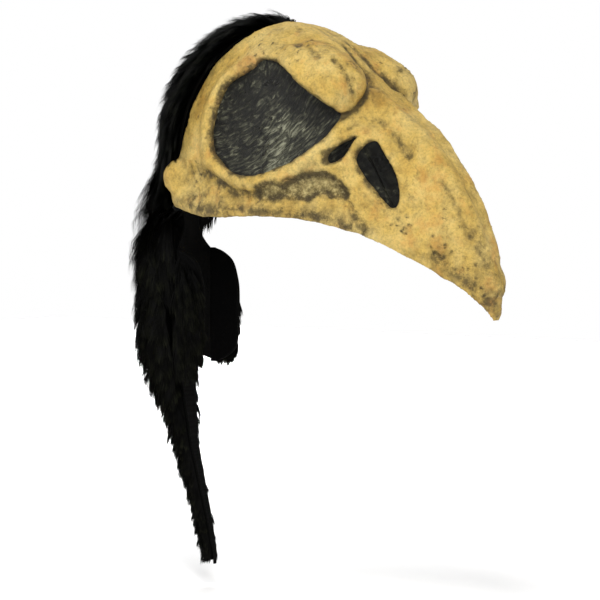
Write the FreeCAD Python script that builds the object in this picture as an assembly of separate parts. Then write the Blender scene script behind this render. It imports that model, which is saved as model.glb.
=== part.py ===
import FreeCAD, Part
import math
import os
from functools import lru_cache

os.makedirs("parts", exist_ok=True)

# Bird-skull half mask with a fur hood, a mane and two neck flaps.
# Millimetres, +Z up, beak towards -Y, symmetric about X = 0.
# The origin is the middle of the opening that the head goes into.

Vector = FreeCAD.Vector

# Skull casting
SKULL_WALL = 4.0
SKULL_ROUNDNESS = 2.5
INNER_DROP = 30.0
# One row per cross-section, from the back of the head to the tip of the beak:
# top y, top z, base y, base z, half width.
SKULL_STATIONS = [
    (96, 112, 88, 14, 50),
    (66, 156, 68, 10, 70),
    (28, 179, 36, 2, 83),
    (-14, 186, 0, 0, 89.5),
    (-50, 180, -34, 1, 89),
    (-84, 162, -66, 0, 82),
    (-110, 136, -98, -7, 69),
    (-133, 112, -124, -14, 57),
    (-160, 88, -146, -23, 48),
    (-190, 57, -172, -36, 39),
    (-217, 18, -200, -52, 29),
    (-236, -24, -223, -67, 20),
    (-247, -62, -239, -84, 11.5),
    (-249, -84, -244, -95, 5),
]
# Back edge of the casting, seen from the side (y, z).
REAR_EDGE = [
    (79, -20), (77, 12), (72, 40), (61, 75), (52, 104),
    (36, 137), (12, 164), (-11, 180), (-31, 192), (-40, 230),
]
EDGE_GAP = 0.6

# Brow lobes and cheek knobs
BROW_CENTRE = (39, -81, 119)
BROW_RADII = (38, 51, 37.5)
BROW_TILT = 37.0
KNOB_CENTRE = (70, 65, 34)
KNOB_RADIUS = 12.5

# Openings in the side of the casting, seen from the side (y, z).
ORBIT = [
    (-33, 146), (-19, 136), (3, 124), (12, 104), (16, 78), (10, 59), (-12, 41),
    (-30, 37), (-55, 42), (-80, 55), (-101, 74), (-110, 94), (-104, 104), (-84, 119),
    (-62, 136),
]
NOSTRIL = [
    (-141, 69), (-130, 63), (-126, 52), (-131, 40), (-145, 22), (-160, 7),
    (-166, 16), (-163, 35), (-152, 54),
]
FENESTRA = [(-125, 73), (-111, 65), (-103, 56), (-105, 48), (-115, 52), (-123, 63)]
CUP_DEPTH = 9.0
CUP_FLOOR = 2.2
CUP_FIT = 0.994
CUP_RIM = 0.94
SCREEN_THICKNESS = 1.5
SCREEN_LAP = 2.6
FIT_GAP = 0.3

# Hood: an upright bell, narrower across than it is long
HOOD_RADIUS = 108.0
HOOD_DOME_Z = 76.0
HOOD_BASE_Z = -160.0
HOOD_WIDTH_RATIO = 0.8
FUR_DEPTH = 13.0
LINING_THICKNESS = 1.7
HOOD_OUTLINE = [(79, 12), (90, 8), (112, 4), (150, 4), (150, 230)]
NAPE_HALF_WIDTH = 27.0
NAPE_BOTTOM_Z = -140.0
TAPE_REACH = 9.0
TAPE_INSET = 7.0
TAPE_THICKNESS = 1.5
TAPE_LOW_Z = 88.0

# Neck flaps: curved cloth panels with fur on the outside
FLAP_MIDDLE = (29.5, 82.0)
FLAP_BEND_RADIUS = 130.0
FLAP_THICKNESS = 2.0
FLAP_FUR_DEPTH = 7.5
FLAP_OUTLINE = [
    (98.5, -32), (88, -37), (76, -46), (70, -60), (67, -78),
    (68, -118), (72, -134), (84, -144), (98.5, -150),
]
BINDING_WIDTH = 4.0
BINDING_THICKNESS = 1.2

# Mane: z, middle y, half width, half depth of the fur
MANE_SECTIONS = [
    (2, 126.5, 20, 4),
    (-12, 132, 33, 13),
    (-30, 135, 37, 18),
    (-60, 138, 37, 21),
    (-95, 141, 36, 22.5),
    (-125, 140.5, 33, 21.5),
    (-148, 135, 28, 19),
    (-181, 126, 21, 16),
    (-229, 115, 14.5, 11.5),
    (-264, 104, 11.5, 9),
    (-304, 93, 9.5, 8),
    (-338, 84, 7, 6),
    (-352, 81, 3.5, 3.5),
    (-358, 80, 1.6, 1.6),
]
MANE_BACKING = 1.5

# Pads
PAD_THICKNESS = 8.0

# Head strap
STRAP_Z = 56.0
STRAP_HEIGHT = 22.0
STRAP_THICKNESS = 1.8
STRAP_X = 68.0
STRAP_END_Y = 22.0
STRAP_BEND_Y = 36.0
STRAP_RUN = Vector(-12.5, 34.0, 0)
STRAP_BACK_Y = 97.0
ANCHOR_LENGTH = 12.0
ANCHOR_MARGIN = 3.0
RIVET_RADIUS = 2.2
RIVET_HEAD_RADIUS = 4.0
RIVET_HEAD = 1.2
RIVET_SPACING = 11.0
RIVET_FIT = 0.25
SLIDE_AT = 24.0
SLIDE_LENGTH = 9.0
SLIDE_WALL = 1.4
SLIDE_GAP = 0.5


def polygon(points):
    corners = [Vector(*point) for point in points]
    return Part.makePolygon(corners + [corners[0]])


def closed_spline(points):
    curve = Part.BSplineCurve()
    curve.interpolate(Points=[Vector(*point) for point in points], PeriodicFlag=True)
    return Part.Wire(curve.toShape())


def side_prism(points, x_start, x_end, rounded=False):
    """Outline in the side view (y, z), pushed along X."""
    at_start = [(x_start, y, z) for y, z in points]
    outline = closed_spline(at_start) if rounded else polygon(at_start)
    return Part.Face(outline).extrude(Vector(x_end - x_start, 0, 0))


def grown(points, factor):
    """Outline scaled about its own middle."""
    middle_y = sum(y for y, z in points) / len(points)
    middle_z = sum(z for y, z in points) / len(points)
    return [
        (middle_y + (y - middle_y) * factor, middle_z + (z - middle_z) * factor)
        for y, z in points
    ]


def grown_by(points, margin):
    """Outline moved outwards by a margin, measured from its own middle."""
    middle_y = sum(y for y, z in points) / len(points)
    middle_z = sum(z for y, z in points) / len(points)
    moved = []
    for y, z in points:
        reach = math.hypot(y - middle_y, z - middle_z)
        factor = (reach + margin) / reach
        moved.append((middle_y + (y - middle_y) * factor, middle_z + (z - middle_z) * factor))
    return moved


def mirrored(shape):
    return shape.mirror(Vector(0, 0, 0), Vector(1, 0, 0))


def ellipsoid(centre, radii, tilt=0.0):
    matrix = FreeCAD.Matrix()
    matrix.scale(*radii)
    shape = Part.makeSphere(1.0).transformGeometry(matrix)
    shape.rotate(Vector(0, 0, 0), Vector(1, 0, 0), tilt)
    shape.translate(Vector(*centre))
    return shape


def arch_wire(station, inset, drop):
    """Cross-section of the casting: an arch, closed along its base."""
    top_y, top_z, base_y, base_z, half_width = station
    rise = Vector(0, top_y - base_y, top_z - base_z)
    height = rise.Length - inset
    up = rise.normalize()
    base = Vector(0, base_y, base_z)
    width = half_width - inset
    power = 2.0 / SKULL_ROUNDNESS
    arch = []
    for step in range(17):
        angle = math.pi * step / 16
        across = math.cos(angle)
        x = math.copysign(width * abs(across) ** power, across)
        arch.append(base + up * (height * math.sin(angle) ** power) + Vector(x, 0, 0))
    curve = Part.BSplineCurve()
    curve.interpolate(arch)
    edges = [curve.toShape()]
    low_left = arch[-1] - up * drop
    low_right = arch[0] - up * drop
    if drop > 0:
        edges.append(Part.makeLine(arch[-1], low_left))
        edges.append(Part.makeLine(low_left, low_right))
        edges.append(Part.makeLine(low_right, arch[0]))
    else:
        edges.append(Part.makeLine(arch[-1], arch[0]))
    return Part.Wire(edges)


@lru_cache(maxsize=None)
def skull_form(inset=0.0):
    """Outer form of the casting, or the form inside it at a given depth."""
    if inset == 0.0:
        return Part.makeLoft([arch_wire(row, 0.0, 0.0) for row in SKULL_STATIONS], True)
    rows = [row for row in SKULL_STATIONS if row[4] > inset + 4.0]
    back = rows[0]
    rows[0] = (back[0] + 12, back[1], back[2] + 12, back[3], back[4])
    return Part.makeLoft([arch_wire(row, inset, INNER_DROP) for row in rows], True)


def skull_layer(block, outer_depth, inner_depth):
    """The part of a block that lies between two depths below the outer form."""
    return block.common(skull_form(outer_depth)).cut(skull_form(inner_depth))


def bell(offset):
    """Form of the hood before it is narrowed: an upright tube under a round dome."""
    radius = HOOD_RADIUS + offset
    tube = Part.makeCylinder(radius, HOOD_DOME_Z - HOOD_BASE_Z, Vector(0, 0, HOOD_BASE_Z))
    dome = Part.makeSphere(radius, Vector(0, 0, HOOD_DOME_Z))
    return tube.fuse(dome)


def narrowed(shape):
    matrix = FreeCAD.Matrix()
    matrix.scale(HOOD_WIDTH_RATIO, 1.0, 1.0)
    return shape.transformGeometry(matrix)


def hood_layer(block, outer_offset, inner_offset):
    """The part of a block that lies between two offsets of the bell, before narrowing."""
    return block.common(bell(outer_offset)).cut(bell(inner_offset))


def rear_zone(shift):
    """Everything behind the back edge of the casting, moved back by a shift."""
    edge = [(y + shift, z) for y, z in REAR_EDGE]
    return side_prism(edge + [(200, 230), (200, -20)], -150, 150)


def knobs(growth):
    right = Part.makeSphere(KNOB_RADIUS + growth, Vector(*KNOB_CENTRE))
    return right, mirrored(right)


def make_skull_shell():
    brow = ellipsoid(BROW_CENTRE, BROW_RADII, BROW_TILT)
    form = skull_form().fuse([brow, mirrored(brow)])
    form = form.cut(rear_zone(0.0)).fuse(list(knobs(0.0)))
    shell = form.cut(skull_form(SKULL_WALL))
    for outline in (ORBIT, NOSTRIL, FENESTRA):
        hole = side_prism(outline, 25, 130, rounded=True)
        shell = shell.cut([hole, mirrored(hole)])
    return shell.removeSplitter()


def make_eye_socket():
    plug = side_prism(grown(ORBIT, CUP_FIT), 25, 130, rounded=True)
    bowl = side_prism(grown(ORBIT, CUP_RIM), 25, 130, rounded=True)
    bowl = bowl.cut(skull_form(CUP_DEPTH - CUP_FLOOR))
    return skull_layer(plug, 1.0, CUP_DEPTH).cut(bowl)


def make_screen(outline):
    patch = side_prism(grown_by(outline, SCREEN_LAP), 5, 130, rounded=True)
    depth = SKULL_WALL + FIT_GAP
    return skull_layer(patch, depth, depth + SCREEN_THICKNESS)


def hood_zone():
    outline = list(HOOD_OUTLINE)
    edge = [(y + EDGE_GAP, z) for y, z in REAR_EDGE if z > HOOD_OUTLINE[0][1]]
    return side_prism(outline + edge[::-1], -150, 150)


def make_hood_layer(block, outer_offset, inner_offset):
    knob_y_z = KNOB_CENTRE[1:]
    knob_x = KNOB_CENTRE[0] / HOOD_WIDTH_RATIO
    knob_radius = (KNOB_RADIUS + EDGE_GAP) / HOOD_WIDTH_RATIO
    knob = Part.makeSphere(knob_radius, Vector(knob_x, *knob_y_z))
    layer = hood_layer(block, outer_offset, inner_offset)
    return narrowed(layer.cut([knob, mirrored(knob)]))


def make_hood_lining():
    """The lining runs on below the hood as a narrow panel down the nape."""
    reach = NAPE_HALF_WIDTH / HOOD_WIDTH_RATIO
    nape = Part.makeBox(
        2 * reach, 60, 60 - NAPE_BOTTOM_Z, Vector(-reach, 60, NAPE_BOTTOM_Z),
    )
    zone = hood_zone().fuse(nape)
    return make_hood_layer(zone, -FIT_GAP, -FIT_GAP - LINING_THICKNESS)


def make_edge_tape():
    band = rear_zone(-TAPE_REACH).cut(rear_zone(TAPE_REACH))
    above_rim = Part.makeBox(300, 400, 300, Vector(-150, -200, TAPE_LOW_Z))
    layer = hood_layer(band.common(above_rim), -TAPE_INSET, -TAPE_INSET - TAPE_THICKNESS)
    tape = narrowed(layer)
    behind = tape.common(rear_zone(EDGE_GAP))
    inside = tape.cut(rear_zone(0)).common(skull_form(SKULL_WALL + FIT_GAP))
    bridge = tape.common(rear_zone(0)).cut(rear_zone(EDGE_GAP))
    return behind.fuse([inside, bridge]).removeSplitter()


def flap_layer(block, outer_offset, inner_offset):
    """The part of a block between two offsets of the curved wall of the left flap."""
    middle_x, middle_y = FLAP_MIDDLE
    centre = Vector(middle_x - FLAP_BEND_RADIUS, middle_y, HOOD_BASE_Z)
    height = -HOOD_BASE_Z
    outer = Part.makeCylinder(FLAP_BEND_RADIUS + outer_offset, height, centre)
    inner = Part.makeCylinder(FLAP_BEND_RADIUS + inner_offset, height, centre)
    return block.common(outer).cut(inner)


def make_neck_flap():
    panel = side_prism(FLAP_OUTLINE, 10, 60)
    return flap_layer(panel, 0.0, -FLAP_THICKNESS)


def flap_inner_outline():
    """Outline of the flap inside its binding; the seam side has none."""
    middle_z = (FLAP_OUTLINE[0][1] + FLAP_OUTLINE[-1][1]) / 2
    shrink = 1 - 2 * BINDING_WIDTH / (FLAP_OUTLINE[0][1] - FLAP_OUTLINE[-1][1])
    inner_outline = []
    for y, z in FLAP_OUTLINE:
        inner_y = y + BINDING_WIDTH if y < FLAP_OUTLINE[0][0] else y
        inner_outline.append((inner_y, middle_z + (z - middle_z) * shrink))
    return inner_outline


def make_flap_fur():
    panel = side_prism(FLAP_OUTLINE, 10, 60)
    low = FIT_GAP + BINDING_THICKNESS + FIT_GAP
    return flap_layer(panel, low + FLAP_FUR_DEPTH, low)


def make_flap_binding():
    """Tape folded round the free edge of a neck flap, one strip on each face."""
    band = side_prism(FLAP_OUTLINE, 10, 60).cut(side_prism(flap_inner_outline(), 10, 60))
    outside = flap_layer(band, FIT_GAP + BINDING_THICKNESS, FIT_GAP)
    face = -FLAP_THICKNESS - FIT_GAP
    inside = flap_layer(band, face, face - BINDING_THICKNESS)
    return Part.makeCompound([outside, inside])


def make_mane_fur():
    wires = []
    for z, middle_y, half_width, half_depth in MANE_SECTIONS:
        ring = []
        for step in range(12):
            angle = 2 * math.pi * step / 12
            ring.append((
                math.cos(angle) * half_width,
                middle_y + math.sin(angle) * half_depth,
                z,
            ))
        wires.append(closed_spline(ring))
    return Part.makeLoft(wires, True)


def make_mane_backing():
    """Narrow woven strip that runs up the inner face of the mane."""
    wires = []
    for z, middle_y, half_width, half_depth in MANE_SECTIONS[1:-1]:
        near = middle_y - half_depth - 2 * FIT_GAP
        width = half_width * 0.5
        wires.append(polygon([
            (-width, near - MANE_BACKING, z), (width, near - MANE_BACKING, z),
            (width, near, z), (-width, near, z),
        ]))
    return Part.makeLoft(wires, True)


def make_pad(low, high):
    """Foam pad glued to the inside of the casting, within a box."""
    size = [b - a for a, b in zip(low, high)]
    block = Part.makeBox(*size, Vector(*low))
    depth = SKULL_WALL + FIT_GAP
    return skull_layer(block, depth, depth + PAD_THICKNESS)


def strap_line(offset):
    """One face of the strap in plan, from the left anchor round to the right one."""
    end = Vector(STRAP_X + offset, STRAP_END_Y, STRAP_Z)
    bend = Vector(STRAP_X + offset, STRAP_BEND_Y, STRAP_Z)
    turn = Vector(STRAP_X, STRAP_BEND_Y, STRAP_Z) + STRAP_RUN
    depth = STRAP_BACK_Y - turn.y
    radius = (turn.x ** 2 + depth ** 2) / (2 * depth)
    centre = Vector(0, STRAP_BACK_Y - radius, STRAP_Z)
    turn = turn + (turn - centre).normalize() * offset
    back = Vector(0, STRAP_BACK_Y + offset, STRAP_Z)

    def other_side(point):
        return Vector(-point.x, point.y, point.z)

    return [
        Part.makeLine(end, bend),
        Part.makeLine(bend, turn),
        Part.Arc(turn, back, other_side(turn)).toShape(),
        Part.makeLine(other_side(turn), other_side(bend)),
        Part.makeLine(other_side(bend), other_side(end)),
    ]


def rivet_places():
    middle_y = STRAP_END_Y + ANCHOR_LENGTH / 2
    middle_z = STRAP_Z + STRAP_HEIGHT / 2
    return [(middle_y, middle_z + side * RIVET_SPACING / 2) for side in (-1, 1)]


def rivet_holes():
    holes = []
    for y, z in rivet_places():
        start = Vector(-120, y, z)
        holes.append(Part.makeCylinder(RIVET_RADIUS + RIVET_FIT, 240, start, Vector(1, 0, 0)))
    return holes


def make_head_strap():
    inner = strap_line(0.0)
    outer = strap_line(STRAP_THICKNESS)
    ends = []
    for side in (1, -1):
        ends.append(Part.makeLine(
            Vector(side * STRAP_X, STRAP_END_Y, STRAP_Z),
            Vector(side * (STRAP_X + STRAP_THICKNESS), STRAP_END_Y, STRAP_Z),
        ))
    outline = Part.Wire(Part.__sortEdges__(inner + outer + ends))
    band = Part.Face(outline).extrude(Vector(0, 0, STRAP_HEIGHT))
    return band.cut(rivet_holes())


def make_strap_anchor():
    block = Part.makeBox(
        60, ANCHOR_LENGTH, STRAP_HEIGHT + 2 * ANCHOR_MARGIN,
        Vector(STRAP_X + STRAP_THICKNESS + FIT_GAP, STRAP_END_Y, STRAP_Z - ANCHOR_MARGIN),
    )
    return block.common(skull_form(SKULL_WALL + FIT_GAP)).cut(rivet_holes())


def make_strap_rivets():
    head_face = STRAP_X - FIT_GAP
    rivets = []
    for y, z in rivet_places():
        head = Part.makeCylinder(
            RIVET_HEAD_RADIUS, RIVET_HEAD, Vector(head_face - RIVET_HEAD, y, z), Vector(1, 0, 0),
        )
        shank = Part.makeCylinder(RIVET_RADIUS, 4.6, Vector(head_face, y, z), Vector(1, 0, 0))
        rivet = head.fuse(shank).removeSplitter()
        rivets += [rivet, mirrored(rivet)]
    return Part.makeCompound(rivets)


def make_strap_slide():
    """Sleeve that keeps the strap flat; it runs along the straight part on the right."""
    along = Vector(-STRAP_RUN.x, STRAP_RUN.y, 0).normalize()
    outward = Vector(-along.y, along.x, 0)
    place = Vector(-STRAP_X, STRAP_BEND_Y, STRAP_Z) + along * SLIDE_AT
    middle = place + outward * (STRAP_THICKNESS / 2) + Vector(0, 0, STRAP_HEIGHT / 2)

    def block(length, thickness, height):
        box = Part.makeBox(
            length, thickness, height, Vector(-length / 2, -thickness / 2, -height / 2),
        )
        box.rotate(Vector(0, 0, 0), Vector(0, 0, 1), math.degrees(math.atan2(along.y, along.x)))
        box.translate(middle)
        return box

    clear_thickness = STRAP_THICKNESS + 2 * SLIDE_GAP
    clear_height = STRAP_HEIGHT + 2 * SLIDE_GAP
    frame = block(SLIDE_LENGTH, clear_thickness + 2 * SLIDE_WALL, clear_height + 2 * SLIDE_WALL)
    return frame.cut(block(SLIDE_LENGTH + 2, clear_thickness, clear_height))


def save(name, shape):
    shape.exportStep(f"parts/{name}.step")
    box = shape.BoundBox
    print(name, len(shape.Solids), round(shape.Volume), shape.isValid(),
          [round(v, 1) for v in (box.XMin, box.YMin, box.ZMin, box.XMax, box.YMax, box.ZMax)])


def save_pair(name, shape):
    """The wearer's left is +X, so shapes made on that side are saved as the left one."""
    save(f"left_{name}", shape)
    save(f"right_{name}", mirrored(shape))


save("skull_shell", make_skull_shell())
save_pair("eye_socket", make_eye_socket())
save_pair("nostril_screen", make_screen(NOSTRIL))
save_pair("fenestra_screen", make_screen(FENESTRA))
save("hood_fur", make_hood_layer(hood_zone(), FUR_DEPTH, 0.0))
save("hood_lining", make_hood_lining())
save("hood_edge_tape", make_edge_tape())
save("mane_fur", make_mane_fur())
save("mane_backing", make_mane_backing())
save_pair("neck_flap", make_neck_flap())
save_pair("flap_fur", make_flap_fur())
save_pair("flap_binding", make_flap_binding())
save_pair("brow_pad", make_pad((11, -130, 112), (42, -60, 140)))
save("crown_pad", make_pad((-30, -58, 150), (30, -14, 190)))
save_pair("cheek_pad", make_pad((20, -50, 6), (110, 30, 30)))
save("head_strap", make_head_strap())
save_pair("strap_anchor", make_strap_anchor())
save("strap_rivets", make_strap_rivets())
save("strap_slide", make_strap_slide())
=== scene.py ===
import math

import bpy
import numpy as np
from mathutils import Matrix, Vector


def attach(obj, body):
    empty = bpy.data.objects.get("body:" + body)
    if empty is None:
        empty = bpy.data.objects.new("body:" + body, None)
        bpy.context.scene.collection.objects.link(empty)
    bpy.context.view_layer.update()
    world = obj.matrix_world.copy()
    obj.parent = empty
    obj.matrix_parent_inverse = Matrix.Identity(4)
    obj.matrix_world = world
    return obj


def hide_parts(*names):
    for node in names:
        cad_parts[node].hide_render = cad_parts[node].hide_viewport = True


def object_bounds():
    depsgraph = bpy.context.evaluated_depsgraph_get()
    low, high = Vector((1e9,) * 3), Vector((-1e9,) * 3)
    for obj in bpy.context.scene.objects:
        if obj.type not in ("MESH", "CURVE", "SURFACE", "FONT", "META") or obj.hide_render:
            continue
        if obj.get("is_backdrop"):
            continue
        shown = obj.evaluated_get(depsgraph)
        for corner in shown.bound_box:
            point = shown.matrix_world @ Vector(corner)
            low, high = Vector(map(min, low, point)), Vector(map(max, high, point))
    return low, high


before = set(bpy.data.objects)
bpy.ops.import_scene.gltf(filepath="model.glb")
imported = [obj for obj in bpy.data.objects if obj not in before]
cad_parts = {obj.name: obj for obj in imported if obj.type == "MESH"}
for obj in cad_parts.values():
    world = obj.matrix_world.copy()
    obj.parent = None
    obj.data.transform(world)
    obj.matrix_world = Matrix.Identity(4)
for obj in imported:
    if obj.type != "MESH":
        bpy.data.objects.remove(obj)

import openvdb
from mathutils import Vector, noise
from mathutils.kdtree import KDTree

SIZE_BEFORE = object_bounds()
MM = 0.001

# ---- skull form
# The casting is sculpted in millimetres on a grid of distances, one half, then mirrored.
VOXEL = 1.25
HALF_WIDTH = 105.0
GRID_LOW = np.array([0.0, -265.0, -115.0])
GRID_HIGH = np.array([HALF_WIDTH, 100.0, 215.0])
BAND = 14
WALL = 4.0
LEAST_WALL = 3.6
ROUNDNESS = 2.5
# how far the hollow, and the open form that limits it, run on below the base
INNER_DROP = 30.0
OPEN_DROP = 40.0
# half width at which the hollow ends in the beak, and how far it runs on at the back
HOLLOW_TIP = 3.0
HOLLOW_REAR = 12.0
# top y, top z, base y, base z, half width: the same sections as the CAD casting
STATIONS = [
    (96, 112, 88, 14, 50),
    (66, 156, 68, 10, 70),
    (28, 179, 36, 2, 83),
    (-14, 186, 0, 0, 89.5),
    (-50, 180, -34, 1, 89),
    (-84, 162, -66, 0, 82),
    (-110, 136, -98, -7, 69),
    (-133, 112, -124, -14, 57),
    (-160, 88, -146, -23, 48),
    (-190, 57, -172, -36, 39),
    (-217, 18, -200, -52, 29),
    (-236, -24, -223, -67, 20),
    (-247, -62, -239, -84, 11.5),
    (-249, -84, -244, -95, 5),
]
REAR_EDGE = [
    (79, -20), (77, 12), (72, 40), (61, 75), (52, 104),
    (36, 137), (12, 164), (-11, 180), (-31, 192), (-40, 230),
]
ORBIT = [
    (-33, 146), (-19, 136), (3, 124), (12, 104), (16, 78), (10, 59), (-12, 41),
    (-30, 37), (-55, 42), (-80, 55), (-101, 74), (-110, 94), (-104, 104), (-84, 119),
    (-62, 136),
]
NOSTRIL = [
    (-141, 69), (-130, 63), (-126, 52), (-131, 40), (-145, 22), (-160, 7),
    (-166, 16), (-163, 35), (-152, 54),
]
FENESTRA = [(-125, 73), (-111, 65), (-103, 56), (-105, 48), (-115, 52), (-123, 63)]

LOW_INDEX = np.round(GRID_LOW / VOXEL).astype(int)
COUNTS = np.round((GRID_HIGH - GRID_LOW) / VOXEL).astype(int) + 1
AXES = [(LOW_INDEX[k] + np.arange(COUNTS[k])) * VOXEL for k in range(3)]
GX = AXES[0][:, None, None].astype(np.float32)
GY = AXES[1][None, :, None].astype(np.float32)
GZ = AXES[2][None, None, :].astype(np.float32)


def between(p0, p1, p2, p3, steps):
    """Points from p1 on towards p2, on a smooth curve past the four points."""
    t = (np.arange(steps) / steps)[:, None]
    return 0.5 * (2 * p1 + (p2 - p0) * t + (2 * p0 - 5 * p1 + 4 * p2 - p3) * t ** 2
                  + (3 * p1 - 3 * p2 + p3 - p0) * t ** 3)


def spline(rows, steps):
    """Smooth curve through rows of numbers, with a number of steps between each two."""
    rows = np.array(rows, float)
    padded = np.vstack([2 * rows[0] - rows[1], rows, 2 * rows[-1] - rows[-2]])
    pieces = [between(*padded[i - 1:i + 3], steps) for i in range(1, len(padded) - 2)]
    return np.vstack(pieces + [rows[-1:]])


def closed_spline(points, steps):
    """The same kind of curve round a closed outline."""
    turned = [np.roll(np.array(points, float), k, axis=0) for k in (1, 0, -1, -2)]
    return np.vstack([between(*corner, steps) for corner in zip(*turned)])


def form_points(inset, drop):
    """Grid of points on the form: one row per section, each an arch closed along its base."""
    rows = spline(STATIONS, 8)
    if inset > 0:
        rows = rows[rows[:, 4] > inset + HOLLOW_TIP]
        rows[0, [0, 2]] += HOLLOW_REAR
    angles = np.linspace(0, math.pi, 41)
    grid = []
    for top_y, top_z, base_y, base_z, half_width in rows:
        base = np.array([0, base_y, base_z])
        rise = np.array([0, top_y - base_y, top_z - base_z])
        height = np.linalg.norm(rise)
        up = rise / height
        power = 2 / ROUNDNESS
        across = np.cos(angles)
        x = np.copysign((half_width - inset) * np.abs(across) ** power, across)
        lift = (height - inset) * np.sin(angles) ** power
        ring = base + up * lift[:, None]
        ring[:, 0] = x
        if drop > 0:
            ring = np.vstack([ring[0] - up * drop, ring, ring[-1] - up * drop])
        grid.append(ring)
    return np.array(grid)


def distance_grid(inset, drop):
    """Distance to the form, in millimetres, on the half grid; negative inside."""
    grid = form_points(inset, drop)
    rows, columns = grid.shape[:2]
    index = np.arange(rows * columns).reshape(rows, columns)
    nxt = np.roll(index, -1, axis=1)
    quads = np.stack([index[:-1], nxt[:-1], nxt[1:], index[1:]], axis=-1).reshape(-1, 4)
    triangles = []
    for ring, way in ((index[0], -1), (index[-1], 1)):
        for k in range(1, columns - 1):
            triangles.append((ring[0], ring[k], ring[k + 1])[::way])
    transform = openvdb.createLinearTransform(voxelSize=VOXEL)
    level = openvdb.FloatGrid.createLevelSetFromPolygons(
        grid.reshape(-1, 3).astype(np.float32), np.array(triangles, np.uint32),
        quads.astype(np.uint32), transform, BAND)
    out = np.empty(COUNTS, np.float32)
    level.copyToArray(out, tuple(int(v) for v in LOW_INDEX))
    return out


def smooth_min(a, b, k):
    """The smaller of two distances, blended where they differ by less than k."""
    h = np.clip(0.5 + 0.5 * (b - a) / k, 0, 1)
    return b * (1 - h) + a * h - k * h * (1 - h)


def smooth_max(a, b, k):
    return -smooth_min(-a, -b, k)


def ellipsoid_distance(centre, radii, tilt):
    """Distance to an ellipsoid, tilted about X by an angle in degrees."""
    c, s = math.cos(math.radians(tilt)), math.sin(math.radians(tilt))
    dx = GX - centre[0]
    dy = (GY - centre[1]) * c + (GZ - centre[2]) * s
    dz = -(GY - centre[1]) * s + (GZ - centre[2]) * c
    k0 = np.sqrt((dx / radii[0]) ** 2 + (dy / radii[1]) ** 2 + (dz / radii[2]) ** 2)
    k1 = np.sqrt((dx / radii[0] ** 2) ** 2 + (dy / radii[1] ** 2) ** 2
                 + (dz / radii[2] ** 2) ** 2)
    return k0 * (k0 - 1) / np.maximum(k1, 1e-6)


def outline_distance(points):
    """Signed distance to a closed outline in the side view, on the (y, z) grid."""
    yy, zz = np.meshgrid(AXES[1], AXES[2], indexing="ij")
    best = np.full(yy.shape, 1e9)
    inside = np.zeros(yy.shape, bool)
    for (y0, z0), (y1, z1) in zip(points, np.roll(points, -1, axis=0)):
        ey, ez = y1 - y0, z1 - z0
        t = np.clip(((yy - y0) * ey + (zz - z0) * ez) / max(ey * ey + ez * ez, 1e-9), 0, 1)
        best = np.minimum(best, np.hypot(yy - y0 - t * ey, zz - z0 - t * ez))
        crosses = (z0 > zz) != (z1 > zz)
        at = y0 + (zz - z0) / (z1 - z0 if z1 != z0 else 1e-9) * ey
        inside ^= crosses & (yy < at)
    return np.where(inside, -best, best).astype(np.float32)


def polyline_distance(points):
    """Distance to a line through points in space, on a block of the half grid around it."""
    points = np.array(points, float)
    reach = 16.0
    low = np.maximum(((points.min(0) - reach) / VOXEL).astype(int) - LOW_INDEX, 0)
    high = np.minimum(((points.max(0) + reach) / VOXEL).astype(int) + 1 - LOW_INDEX, COUNTS)
    block = tuple(slice(int(a), int(b)) for a, b in zip(low, high))
    x, y, z = GX[block[0]], GY[:, block[1]], GZ[:, :, block[2]]
    best = np.full((x.size, y.size, z.size), 1e9, np.float32)
    for a, b in zip(points[:-1], points[1:]):
        e = b - a
        t = ((x - a[0]) * e[0] + (y - a[1]) * e[1] + (z - a[2]) * e[2]) / max(e @ e, 1e-6)
        t = np.clip(t, 0, 1)
        d = (x - a[0] - t * e[0]) ** 2 + (y - a[1] - t * e[1]) ** 2 + (z - a[2] - t * e[2]) ** 2
        best = np.minimum(best, d)
    return block, np.sqrt(best)


def carve(field, dirt_and_shade, points, depth, width, soot_and_shade):
    """Press a groove (positive depth) or raise a ridge along a line on the surface."""
    block, distance = polyline_distance(points)
    shape = np.exp(-(distance / width) ** 2)
    field[block] += depth * shape
    if soot_and_shade:
        line = 0.5 * np.exp(-(distance / max(width * 0.36, 1.5)) ** 2)
        line += 0.5 * np.exp(-(distance / (width * 1.3)) ** 2)
        dirt_and_shade[block] = np.maximum(dirt_and_shade[block], soot_and_shade * line)
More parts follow.
